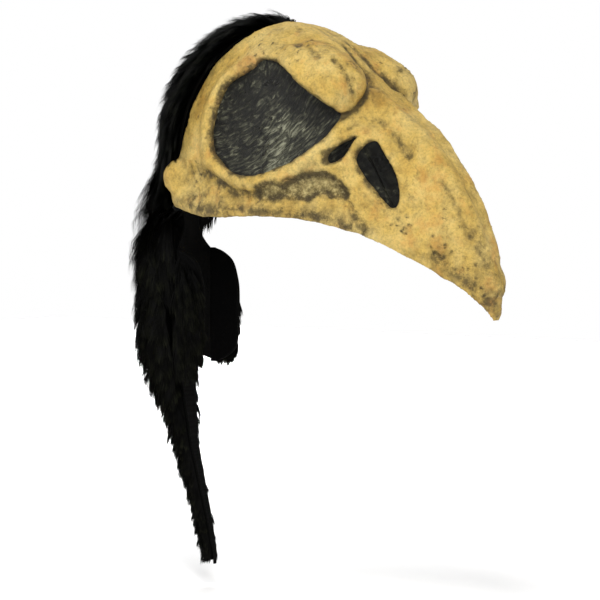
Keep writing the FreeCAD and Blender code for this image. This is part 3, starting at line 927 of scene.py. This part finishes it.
def bell_place(radius, angle, z):
    """Points and outward normals on the bell, at angles round from +X and heights."""
    rise = np.maximum(z - HOOD_DOME_Z, 0)
    ring = np.sqrt(np.maximum(radius ** 2 - rise ** 2, 0))
    x, y = ring * np.cos(angle), ring * np.sin(angle)
    points = np.stack([x * HOOD_WIDTH_RATIO, y, z], axis=-1)
    normals = np.stack([x / HOOD_WIDTH_RATIO, y, rise], axis=-1)
    normals /= np.maximum(np.linalg.norm(normals, axis=-1, keepdims=True), 1e-6)
    return points, normals


def bell_grid(radius, lift=0.0):
    """Grid over the hood from its lower edge up to the crown, from side to side."""
    rows, columns = 44, 72
    top = HOOD_DOME_Z + radius
    grid = np.zeros((rows, columns, 3))
    for i, share in enumerate(np.linspace(0, 1, rows)):
        slope = math.sin(share * math.pi / 2)
        for j, t in enumerate(np.linspace(0, 1, columns)):
            low = 4 + lift + 8 * abs(2 * t - 1) ** 3
            z = low + (top - low - 0.02) * slope
            ring = math.sqrt(max(radius ** 2 - max(z - HOOD_DOME_Z, 0) ** 2, 1e-6))
            reach = np.clip((rear_edge_y(z) + 1.5) / ring, -0.9999, 0.9999)
            start = math.asin(reach)
            angle = start + t * (math.pi - 2 * start)
            grid[i, j] = bell_place(radius, angle, np.array(z))[0]
    return grid


def unit(vectors):
    return vectors / np.maximum(np.linalg.norm(vectors, axis=-1, keepdims=True), 1e-9)


def make_strands(name, roots, normals, nap, length, seed, lift=0.45, width=0.85, spread=0.3,
                 clump=16):
    """Hairs as narrow tapering strips, drawn together into locks."""
    local = np.random.default_rng(seed)
    count = len(roots)
    length = np.broadcast_to(length, (count,))
    lift = np.broadcast_to(lift, (count,))
    centres = local.choice(count, max(count // clump, 1), replace=False)
    tree = KDTree(len(centres))
    for k, index in enumerate(centres):
        tree.insert(Vector(roots[index]), k)
    tree.balance()
    lock = np.array([tree.find(Vector(root))[1] for root in roots])
    lock_turn = local.normal(0, spread, len(centres))
    lock_lift = local.uniform(0.65, 1.4, len(centres))
    lock_size = local.uniform(0.78, 1.3, len(centres))
    lock_tone = local.uniform(0, 1, len(centres))

    def tips(index, extra_turn, scale):
        turn = lock_turn[lock[index]] + extra_turn
        side = np.cross(normals[index], nap[index])
        way = nap[index] * np.cos(turn)[:, None] + side * np.sin(turn)[:, None]
        rise = normals[index] * (lift[index] * lock_lift[lock[index]])[:, None]
        reach = (length[index] * lock_size[lock[index]] * scale)[:, None]
        tip = roots[index] + reach * (way + rise * 0.75)
        bend = roots[index] + reach * (way * 0.40 + rise * 0.85)
        tip[:, 2] -= 0.12 * reach[:, 0]
        return bend, tip

    everyone = np.arange(count)
    bend, tip = tips(everyone, local.normal(0, 0.16, count), local.uniform(0.7, 1.1, count))
    centre_tip = tips(centres, np.zeros(len(centres)), np.ones(len(centres)))[1]
    pull = 0.6
    tip = tip * (1 - pull) + pull * (centre_tip[lock] + local.normal(0, 0.9, (count, 3)))
    levels = [roots * (1 - s) ** 2 + bend * 2 * s * (1 - s) + tip * s ** 2
              for s in (0.0, 0.4, 0.75, 1.0)]
    across = unit(np.cross(unit(tip - roots), normals))
    points = np.empty((count, 7, 3))
    for k, share in enumerate((1.0, 0.9, 0.6)):
        points[:, 2 * k] = levels[k] - across * width * share / 2
        points[:, 2 * k + 1] = levels[k] + across * width * share / 2
    points[:, 6] = levels[3]
    pattern = np.array([(0, 1, 3), (0, 3, 2), (2, 3, 5), (2, 5, 4), (4, 5, 6)])
    faces = pattern[None] + 7 * np.arange(count)[:, None, None]
    made = new_object(name, points.reshape(-1, 3), faces.reshape(-1, 3), FUR)
    hair = np.zeros((count, 7, 3), np.float32)
    hair[:, :, 0] = np.array([0, 0, 0.4, 0.4, 0.75, 0.75, 1])
    tone = 0.6 * lock_tone[lock] + 0.4 * local.uniform(0, 1, count)
    hair[:, :, 1] = tone[:, None]
    paint(made, "hair", hair.reshape(-1, 3))
    return made


def flow_along(normals, direction):
    """A direction laid along the surface."""
    direction = np.broadcast_to(np.asarray(direction, float), normals.shape)
    return unit(direction - normals * (direction * normals).sum(-1, keepdims=True))


def hood_roots(count, seed):
    local = np.random.default_rng(seed)
    top = HOOD_DOME_Z + HOOD_SKIN
    z = local.uniform(4, top - 0.1, count * 3)
    angle = local.uniform(-math.pi / 2, 1.5 * math.pi, count * 3)
    points, normals = bell_place(HOOD_SKIN, angle, z)
    kept = (points[:, 1] > rear_edge_y(z) + 1.0) & (z > hood_low_z(points[:, 1]))
    return points[kept][:count], normals[kept][:count]


def make_hood_fur():
    skin = grid_object("hood_fur_backing", bell_grid(HOOD_SKIN), FUR, thickness=1.2)
    points, normals = hood_roots(HOOD_HAIRS, 11)
    nap = flow_along(normals, (0, 0.55, -1.0))
    made = []
    for side, hand in ((1, "left"), (-1, "right")):
        half = points[:, 0] * side > 0
        root = points[half]
        behind = np.clip((root[:, 1] - 70) / 25, 0, 1)
        low_down = np.clip((80 - root[:, 2]) / 50, 0, 1)
        length = 25 + 15 * low_down * behind
        above = root[:, 2] - hood_low_z(root[:, 1])
        beside = np.clip((np.abs(root[:, 0]) - 30) / 12, 0, 1)
        length = length * (1 - beside) + np.minimum(length, 4 + above * 0.85) * beside
        made.append(make_strands(f"hood_fur_{hand}", root, normals[half], nap[half],
                                 length, 12 + side, lift=0.45 + 0.55 * behind * low_down))
    for piece in [skin] + made:
        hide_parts("hood_fur")
        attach(piece, "mask")


# ---- mane
# z, middle y, half width, half depth: the CAD mane, a little fuller where hair crosses its top
MANE_SECTIONS = np.array([
    (2, 128, 27, 9), (-12, 132, 33, 15), (-30, 135, 37, 19), (-60, 138, 37, 21),
    (-95, 141, 36, 22.5), (-125, 140.5, 33, 21.5), (-148, 135, 28, 19), (-181, 126, 21, 16),
    (-229, 115, 14.5, 11.5), (-264, 104, 11.5, 9), (-304, 93, 9.5, 8), (-338, 84, 7, 6),
    (-352, 81, 3.5, 3.5), (-358, 80, 1.6, 1.6),
])


def mane_section(z):
    """Middle y, half width and half depth of the mane at heights."""
    rows = MANE_SECTIONS[::-1]
    return [np.interp(z, rows[:, 0], rows[:, k]) for k in (1, 2, 3)]


def mane_core(z, angle):
    """Points and normals on the cloth body inside the fur; its front lies on the woven strip."""
    middle, width, depth = mane_section(z)
    width = np.maximum(width - 9.5, width * 0.55)
    front = np.sin(angle) < 0
    depth = np.where(front, depth - 0.1, np.maximum(depth - 9.5, depth * 0.42))
    reach = np.where(front, -np.abs(np.sin(angle)) ** 0.4, np.sin(angle))
    points = np.stack([np.cos(angle) * width, middle + reach * depth, z], axis=-1)
    normals = np.stack([np.cos(angle) / width, np.sin(angle) / depth, 0 * z], axis=-1)
    return points, unit(normals)


def make_mane():
    rows, columns = 70, 40
    heights = np.linspace(0, -346, rows)
    angles = np.linspace(0, 2 * math.pi, columns, endpoint=False)
    zz, aa = np.meshgrid(heights, angles, indexing="ij")
    last = (rows - 1) * columns
    ends = [tuple(range(columns))[::-1], tuple(range(last, last + columns))]
    core = new_object("mane_body", mane_core(zz, aa)[0].reshape(-1, 3),
                      grid_faces(rows, columns, closed=True) + ends, FUR)
    local = np.random.default_rng(31)
    z = np.interp(local.uniform(0, 1, MANE_HAIRS), np.linspace(0, 1, 8),
                  [0, -32, -66, -104, -145, -190, -255, -340])
    angle = local.uniform(0, 2 * math.pi, len(z))
    behind_strip = np.sin(angle) > -0.6
    z, angle = z[behind_strip], angle[behind_strip]
    points, normals = mane_core(z, angle)
    nap = flow_along(normals, (0, 0.05, -1.0))
    length = np.interp(z, [-340, -300, -220, -150, -60, -20, 0], [10, 10, 13, 23, 28, 30, 32])
    behind = np.clip(normals[:, 1] * 1.5 + 0.2, 0, 1)
    lift = 0.42 + behind * np.interp(z, [-150, -50, -20, 0], [0.0, 0.0, 0.2, 0.5])
    fur = make_strands("mane_fur_hair", points, normals, nap, length, 32, lift=lift,
                       width=0.9, clump=22, spread=0.22)
    for piece in (core, fur):
        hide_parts("mane_fur")
        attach(piece, "mane")


def make_mane_strip():
    """Woven strip up the inner face of the mane."""
    heights = np.linspace(-12, -350, 60)
    middle, width, depth = mane_section(heights)
    rows = [np.stack([t * width * 0.45, middle - depth - 0.3, heights], axis=1)
            for t in np.linspace(-1, 1, 9)]
    grid = np.stack(rows, axis=1)
    strip = grid_object("mane_strip", grid, BINDING, thickness=1.2)
    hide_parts("mane_backing")
    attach(strip, "mane")


# ---- neck flaps
FLAP_MIDDLE = (29.5, 82.0)
FLAP_BEND_RADIUS = 130.0
FLAP_SEAM_Y = 98.5
FLAP_TOP_Z = -33
FLAP_LOW_Z = -149
FLAP_OUTLINE = np.array([
    (FLAP_SEAM_Y, -32), (88, -37), (76, -46), (70, -60), (67, -78),
    (68, -118), (72, -134), (84, -144), (FLAP_SEAM_Y, -150),
])


def flap_x(y):
    reach = FLAP_BEND_RADIUS ** 2 - (y - FLAP_MIDDLE[1]) ** 2
    return FLAP_MIDDLE[0] - FLAP_BEND_RADIUS + np.sqrt(reach)


def flap_front(z):
    """Front edge of the flap at a height."""
    return np.interp(z, FLAP_OUTLINE[::-1, 1], FLAP_OUTLINE[::-1, 0])


def flap_grid(side):
    """Slightly rippled cloth of the flap, from its rear seam to its front edge."""
    rows, columns = 60, 16
    grid = np.zeros((rows, columns, 3))
    for i, z in enumerate(np.linspace(FLAP_TOP_Z, FLAP_LOW_Z, rows)):
        y = np.linspace(FLAP_SEAM_Y + 3, min(flap_front(z), FLAP_SEAM_Y - 1), columns)
        ripple = 0.7 * np.sin(z / 11.0) * (FLAP_SEAM_Y - y) / 30
        grid[i, :, 0] = side * (flap_x(y) - 1.2 + ripple)
        grid[i, :, 1] = y
        grid[i, :, 2] = z
    return grid


def make_flap(side, hand):
    body = f"{hand}_flap"
    cloth = grid_object(f"{hand}_flap_cloth", flap_grid(side), FLAP, thickness=1.6)
    local = np.random.default_rng(41 + side)
    z = local.uniform(FLAP_LOW_Z, FLAP_TOP_Z, FLAP_HAIRS)
    y = local.uniform(66, FLAP_SEAM_Y, len(z))
    # hairs stay off the bound edge, and their tips off its lower part
    kept = (y > flap_front(z + 9) + 2.5) & (z > FLAP_LOW_Z + 10) & (y > flap_front(z) + 2.5)
    y, z = y[kept], z[kept]
    points = np.stack([side * (flap_x(y) + 1.0), y, z], axis=-1)
    tilt = (y - FLAP_MIDDLE[1]) / FLAP_BEND_RADIUS
    normals = unit(np.stack([side * np.ones_like(y), tilt, 0 * y], axis=-1))
    # the right flap shows long fur; the left one's stays short, so that its cloth shows
    near = side < 0
    nap = flow_along(normals, (0, -0.3 if near else 0.2, -1.0))
    length = np.full(len(z), 23.0) if near else np.clip(z + 152, 4, 14)
    fur = make_strands(f"{hand}_flap_hair", points, normals, nap, length, 43 + side, lift=0.3,
                       clump=18, spread=0.2)
    edge = spline([(FLAP_SEAM_Y, -33.5), *FLAP_OUTLINE[1:-1], (FLAP_SEAM_Y, -148.5)], 8)
    tube = np.zeros((len(edge), 10, 3))
    inward = unit(np.array([84.0, -90.0]) - edge)
    for k, angle in enumerate(np.linspace(0, 2 * math.pi, 10, endpoint=False)):
        tube[:, k, 0] = side * (flap_x(edge[:, 0]) - 0.2 + 1.9 * math.sin(angle))
        tube[:, k, 1:] = edge + inward * (1.8 + 2.2 * math.cos(angle))
    binding = grid_object(f"{hand}_flap_edge", tube, BINDING, closed=True)
    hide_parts(f"{hand}_neck_flap")
    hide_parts(f"{hand}_flap_fur")
    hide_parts(f"{hand}_flap_binding")
    for piece in (cloth, fur, binding):
        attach(piece, body)


# ---- lining, tape and pads
NAPE_SKIN = 106.2
TAPE_SKIN = 101.0
TAPE_HALF_WIDTH = 8.5


def make_lining():
    grid = bell_grid(LINING_SKIN, lift=1.0)
    wave = 0.5 * np.sin(grid[:, :, 2] / 13) * np.cos(grid[:, :, 1] / 17)
    grid[:, :, 0] *= 1 - np.abs(wave) / 90
    lining = grid_object("hood_lining_cloth", grid, LINING, thickness=1.0)
    panel = np.zeros((60, 30, 3))
    for i, z in enumerate(np.linspace(8, -140, 60)):
        width = np.interp(z, [-34, -27, -20, -10], [27, 21, 16, 12])
        across = np.linspace(-width, width, 30)
        sag = 0.6 * math.sin(z / 12.0)
        ring = np.sqrt(NAPE_SKIN ** 2 - (across / HOOD_WIDTH_RATIO) ** 2)
        panel[i, :, 0] = across
        panel[i, :, 1] = ring + sag * np.cos(across / 9)
        panel[i, :, 2] = z - 7 * np.clip(-z / 140, 0, 1) ** 4 * (across / width) ** 2
    nape = grid_object("nape_panel", panel[:, ::-1], LINING, thickness=1.2)
    for piece in (lining, nape):
        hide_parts("hood_lining")
        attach(piece, "mask")


def make_edge_tape():
    """Tape that joins the hood to the casting, inside its back edge."""
    left = np.zeros((40, 7, 3))
    for i, z in enumerate(np.linspace(88, 176, 40)):
        ring = math.sqrt(max(TAPE_SKIN ** 2 - max(z - HOOD_DOME_Z, 0) ** 2, 1.0))
        y = rear_edge_y(z) + TAPE_HALF_WIDTH * np.linspace(-1, 1, 7)
        y = np.clip(y, -ring * 0.98, ring * 0.98)
        left[i] = np.stack([HOOD_WIDTH_RATIO * np.sqrt(ring ** 2 - y ** 2), y, y * 0 + z], axis=1)
    right = left[::-1] * np.array([-1, 1, 1])
    grid = np.vstack([left, right])
    tape = grid_object("hood_edge_tape_cloth", grid, BINDING, thickness=1.0)
    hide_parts("hood_edge_tape")
    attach(tape, "mask")


def make_pad(node, name):
    """Foam pad: the CAD block with its edges softened."""
    pad = bpy.data.objects.new(name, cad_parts[node].data.copy())
    bpy.context.scene.collection.objects.link(pad)
    pad.data.materials.clear()
    pad.data.materials.append(FOAM)
    remesh = pad.modifiers.new("remesh", "REMESH")
    remesh.mode = "VOXEL"
    remesh.voxel_size = 0.0018
    remesh.use_smooth_shade = True
    rounding = pad.modifiers.new("rounding", "CORRECTIVE_SMOOTH")
    rounding.iterations = 12
    rounding.smooth_type = "SIMPLE"
    rounding.use_only_smooth = True
    apply_modifiers(pad)
    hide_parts(node)
    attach(pad, "mask")


def apply_modifiers(made):
    bpy.context.view_layer.update()
    evaluated = made.evaluated_get(bpy.context.evaluated_depsgraph_get())
    mesh = bpy.data.meshes.new_from_object(evaluated)
    made.modifiers.clear()
    made.data = mesh


# ---- head strap
STRAP_X = 68.0
STRAP_END_Y = 22.0
STRAP_BEND_Y = 36.0
STRAP_BACK_Y = 97.0
# how far the sloping stretch runs inwards and backwards
STRAP_LEAN = 12.5
STRAP_SLOPE = 34.0
STRAP_LOW_Z = 56.0
STRAP_HEIGHT = 22.0
STRAP_THICKNESS = 1.8


def strap_path():
    """Middle line of the strap in plan, from the left anchor round to the right one."""
    turn = np.array([STRAP_X - STRAP_LEAN, STRAP_BEND_Y + STRAP_SLOPE])
    depth = STRAP_BACK_Y - turn[1]
    radius = (turn[0] ** 2 + depth ** 2) / (2 * depth)
    centre = STRAP_BACK_Y - radius
    start = math.atan2(turn[1] - centre, turn[0])
    line = [(STRAP_X, y) for y in np.linspace(STRAP_END_Y, STRAP_END_Y + 12, 8)]
    line += [(STRAP_X - STRAP_LEAN * t, STRAP_BEND_Y + STRAP_SLOPE * t)
             for t in np.linspace(0, 0.97, 24)]
    for angle in np.linspace(start, math.pi / 2, 30):
        line.append((radius * math.cos(angle), centre + radius * math.sin(angle)))
    right = [(-x, y) for x, y in line[-2::-1]]
    return np.array(line + right)


def make_strap():
    path = strap_path()
    along = unit(np.gradient(path, axis=0))
    outward = np.stack([along[:, 1], -along[:, 0]], axis=1)
    columns = 23
    grid = np.zeros((len(path), columns, 3))
    for j, t in enumerate(np.linspace(0, 1, columns)):
        rib = 0.12 * math.cos(t * math.pi * 11)
        grid[:, j, :2] = path + outward * (STRAP_THICKNESS / 2 + rib)
        grid[:, j, 2] = STRAP_LOW_Z + 0.4 + (STRAP_HEIGHT - 0.8) * t
    strap = grid_object("head_strap_web", grid, ELASTIC)
    thicken(strap, 1.5, 0.0)
    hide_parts("head_strap")
    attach(strap, "mask")


def finish_node(node, material):
    """A hard CAD piece shown as it is, with its own material."""
    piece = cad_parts[node]
    piece.data.materials.clear()
    piece.data.materials.append(material)


# ---- everything
make_skull()
make_insets()
make_hood_fur()
make_mane()
make_mane_strip()
make_flap(1, "left")
make_flap(-1, "right")
make_lining()
make_edge_tape()
for pad in ("left_brow", "right_brow", "crown", "left_cheek", "right_cheek"):
    make_pad(f"{pad}_pad", f"{pad}_pad_foam")
make_strap()
finish_node("left_strap_anchor", RUBBER)
finish_node("right_strap_anchor", RUBBER)
finish_node("strap_rivets", METAL)
finish_node("strap_slide", PLASTIC)


# ---- camera, light and floor
FLOOR_Z = -372
FLOOR_REACH = 3200
VIEW_TARGET = Vector((0.0130, -0.0186, -0.0825))
VIEW_AZIMUTH = math.radians(305.0)
VIEW_ELEVATION = math.radians(3.0)
VIEW_DISTANCE = 1.9


def look_at(placed, target):
    placed.rotation_euler = (target - placed.location).to_track_quat("-Z", "Y").to_euler()


def make_camera():
    data = bpy.data.cameras.new("view")
    data.lens = 116.9
    data.sensor_width = 36.0
    camera = bpy.data.objects.new("view", data)
    bpy.context.scene.collection.objects.link(camera)
    level = math.cos(VIEW_ELEVATION)
    way = Vector((math.sin(VIEW_AZIMUTH) * level, -math.cos(VIEW_AZIMUTH) * level,
                  math.sin(VIEW_ELEVATION)))
    camera.location = VIEW_TARGET + way * VIEW_DISTANCE
    look_at(camera, VIEW_TARGET)
    bpy.context.scene.camera = camera


def make_light(name, place, power, size, colour=(1, 1, 1), target=(0, -0.05, 0), spread=180):
    data = bpy.data.lights.new(name, "AREA")
    data.energy = power
    data.size = size
    data.color = colour
    data.spread = math.radians(spread)
    made = bpy.data.objects.new(name, data)
    made.location = place
    bpy.context.scene.collection.objects.link(made)
    look_at(made, Vector(target))


def make_floor():
    material, tree, surface = shader("floor", 0.9)
    grain = noise_node(tree, 40, 3, 0.5)
    link(tree, mix(tree, "MIX", grain, (0.90, 0.90, 0.90), (0.93, 0.93, 0.93)),
         surface.inputs["Base Color"])
    r = FLOOR_REACH
    points = [(x, y, FLOOR_Z) for x, y in ((-r, -r), (r, -r), (r, r), (-r, r))]
    floor = new_object("floor", points, [(0, 1, 2, 3)], material)
    floor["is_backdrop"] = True


def make_world():
    """Even grey studio with a white wall on the side that the main view looks towards."""
    world = bpy.data.worlds.new("studio")
    world.use_nodes = True
    tree = world.node_tree
    facing = tree.nodes.new("ShaderNodeVectorMath")
    facing.operation = "DOT_PRODUCT"
    link(tree, tree.nodes.new("ShaderNodeTexCoord").outputs["Generated"], facing.inputs[0])
    facing.inputs[1].default_value = (-math.sin(VIEW_AZIMUTH), math.cos(VIEW_AZIMUTH), 0.0)
    wall = ramp(tree, facing.outputs["Value"], [(0.0, 0.42), (0.86, 0.42), (0.95, 1.0)])
    link(tree, wall, tree.nodes["Background"].inputs["Color"])
    bpy.context.scene.world = world


make_camera()
make_light("key", (-0.9, -0.5, 1.7), 15.5, 0.4, (1.0, 0.98, 0.95))
make_light("fill", (-1.6, -1.3, 0.75), 28, 0.6)
make_light("rim", (-0.9, 1.3, 0.9), 8, 0.9)
make_light("floor_wash", (2.6, 1.8, 2.2), 150, 2.5, target=(2.2, 1.5, -0.37), spread=70)
make_floor()
make_world()
bpy.context.scene.view_settings.view_transform = "Standard"

bpy.context.view_layer.update()
[[list(map(float, corner)) for corner in box]
           for box in (SIZE_BEFORE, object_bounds())]
